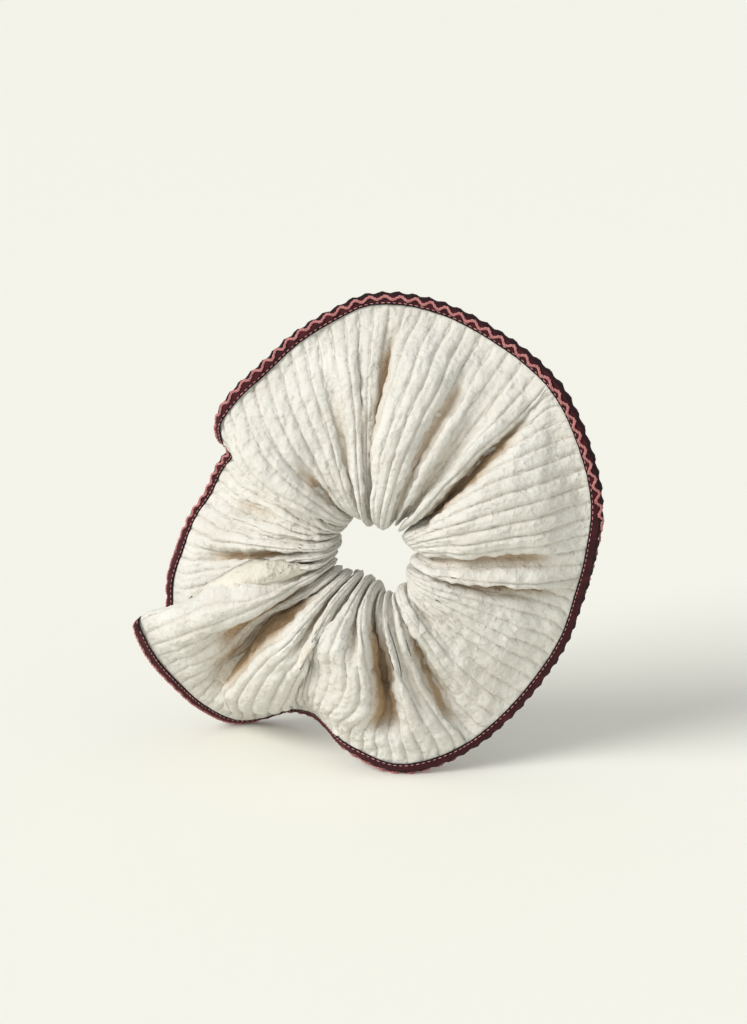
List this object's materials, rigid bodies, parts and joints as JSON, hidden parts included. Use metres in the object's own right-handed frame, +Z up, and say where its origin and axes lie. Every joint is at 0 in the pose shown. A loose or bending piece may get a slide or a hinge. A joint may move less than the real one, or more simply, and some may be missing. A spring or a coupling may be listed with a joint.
{
  "type": "scrunchie",
  "caption": "Large quilted cotton scrunchie with a bound wavy edge, standing on its rim; an elastic band in the hem lets the hair hole stretch open.",
  "frame": {"origin": "middle of the footprint, on the surface the scrunchie stands on", "axes": "+Z up, -Y towards the front face, the hair hole runs along Y, +X to the right seen from the front"},
  "size_m": [0.1728, 0.0552, 0.1813],
  "materials": {
    "cover_cotton": "washed crinkled cotton, matt",
    "wadding": "fluffy polyester wadding",
    "lining_cotton": "plain cotton, matt",
    "binding_tape": "dark maroon velvet ribbon",
    "braid": "dusty pink twisted cotton",
    "pink_thread": "sewing thread",
    "elastic": "flat braided elastic",
    "white_thread": "sewing thread"
  },
  "bodies": {
    "left_half": {"cover_left": "cover_cotton", "wadding_left": "wadding", "lining_left": "lining_cotton", "edge_binding_left": "binding_tape", "wavy_braid_left": "braid", "binding_thread_left": "pink_thread", "elastic_band": "elastic", "elastic_lap": "elastic", "elastic_lap_stitches": "white_thread"},
    "right_half": {"cover_right": "cover_cotton", "wadding_right": "wadding", "lining_right": "lining_cotton", "edge_binding_right": "binding_tape", "wavy_braid_right": "braid", "binding_thread_right": "pink_thread"}
  },
  "joints": [
    {"name": "stretch", "type": "slide", "parent": "left_half", "child": "right_half", "axis": [1, 0, 0], "range_m": [0, 0.06], "stiffness_N_per_m": 100, "deforming": ["elastic_band"]}
  ]
}
